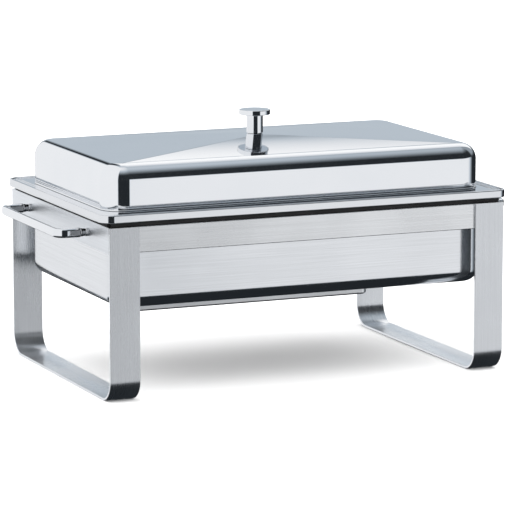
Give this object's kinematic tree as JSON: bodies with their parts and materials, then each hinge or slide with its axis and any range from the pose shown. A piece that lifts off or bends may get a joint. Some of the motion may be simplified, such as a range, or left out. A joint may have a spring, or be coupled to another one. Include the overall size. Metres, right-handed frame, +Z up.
{
  "type": "electric chafing dish",
  "caption": "Rectangular electric chafing dish on flat-bar leg loops: lift-off lid with knob, food pan, water basin, side handles, and a heater with thermostat under the basin.",
  "frame": {"origin": "on the surface it stands on, at the middle of the footprint", "axes": "+X to the right end, -Y to the front, +Z up"},
  "size_m": [0.723, 0.415, 0.383],
  "materials": {
    "brushed_steel": "brushed stainless steel, upright grain on the legs, lengthways grain on the band",
    "polished_steel": "mirror-polished stainless steel",
    "satin_steel": "fine satin drawn stainless steel",
    "zinc_plated_steel": "dull zinc-plated steel",
    "black_rubber": "matt black rubber",
    "aluminium_plate": "mill-finish aluminium",
    "mineral_wool": "pressed off-white mineral wool",
    "cream_plastic": "moulded heat-resistant plastic",
    "black_plastic": "finely grained black plastic",
    "amber_lens": "clear amber lens",
    "brass": "bright brass",
    "blue_wire": "blue silicone wire cover",
    "green_wire": "green and yellow silicone wire cover",
    "brown_wire": "brown silicone wire cover"
  },
  "bodies": {
    "stand": {"left_leg_loop": "brushed_steel", "right_leg_loop": "brushed_steel", "front_apron": "brushed_steel", "rear_apron": "brushed_steel", "left_side_panel": "brushed_steel", "right_side_panel": "brushed_steel", "left_handle": "polished_steel", "right_handle": "polished_steel", "left_rim_seal": "black_rubber", "right_rim_seal": "black_rubber", "front_rim_seal": "black_rubber", "rear_rim_seal": "black_rubber", "corner_bracket_front_left": "zinc_plated_steel", "corner_bracket_rear_left": "zinc_plated_steel", "corner_bracket_front_right": "zinc_plated_steel", "corner_bracket_rear_right": "zinc_plated_steel", "leg_nut_front_left": "zinc_plated_steel", "leg_nut_rear_left": "zinc_plated_steel", "leg_nut_front_right": "zinc_plated_steel", "leg_nut_rear_right": "zinc_plated_steel", "handle_spacer_front_left": "polished_steel", "handle_spacer_rear_left": "polished_steel", "handle_spacer_front_right": "polished_steel", "handle_spacer_rear_right": "polished_steel", "handle_screw_front_left": "zinc_plated_steel", "handle_screw_rear_left": "zinc_plated_steel", "handle_screw_front_right": "zinc_plated_steel", "handle_screw_rear_right": "zinc_plated_steel"},
    "basin": {"water_basin": "satin_steel", "heat_spreader": "aluminium_plate", "heating_element": "zinc_plated_steel", "insulation_mat": "mineral_wool", "heater_tray": "brushed_steel", "heater_screw_front_left": "zinc_plated_steel", "heater_screw_rear_left": "zinc_plated_steel", "heater_screw_front_right": "zinc_plated_steel", "heater_screw_rear_right": "zinc_plated_steel", "control_box": "brushed_steel", "thermostat_body": "cream_plastic", "switch_frame": "black_plastic", "pilot_lamp": "amber_lens", "power_inlet": "black_plastic", "terminal_block": "cream_plastic", "thermal_cutout": "brass", "neutral_lead": "blue_wire", "earth_lead": "green_wire", "live_lead": "brown_wire"},
    "thermostat_dial": {"thermostat_dial": "black_plastic", "thermostat_shaft": "zinc_plated_steel"},
    "switch_rocker": {"switch_rocker": "black_plastic"},
    "pan_frame": {"pan_frame": "polished_steel"},
    "food_pan": {"food_pan": "satin_steel"},
    "lid": {"lid_shell": "polished_steel", "knob_stem": "polished_steel", "knob_cap": "polished_steel", "knob_washer": "zinc_plated_steel", "knob_screw": "zinc_plated_steel"}
  },
  "joints": [
    {"name": "basin_lift", "type": "slide", "parent": "stand", "child": "basin", "axis": [0, 0, 1], "range_m": [0, 0.18]},
    {"name": "pan_frame_lift", "type": "slide", "parent": "basin", "child": "pan_frame", "axis": [0, 0, 1], "range_m": [0, 0.05]},
    {"name": "food_pan_lift", "type": "slide", "parent": "pan_frame", "child": "food_pan", "axis": [0, 0, 1], "range_m": [0, 0.09]},
    {"name": "lid_lift", "type": "slide", "parent": "food_pan", "child": "lid", "axis": [0, 0, 1], "range_m": [0, 0.12]},
    {"name": "thermostat_turn", "type": "hinge", "parent": "basin", "child": "thermostat_dial", "pos_m": [0.156, 0.165, 0.1128], "axis": [0, -1, 0], "range_deg": [0, 270]},
    {"name": "switch_tilt", "type": "hinge", "parent": "basin", "child": "switch_rocker", "pos_m": [0.204, 0.165, 0.1128], "axis": [1, 0, 0], "range_deg": [0, 14]}
  ]
}
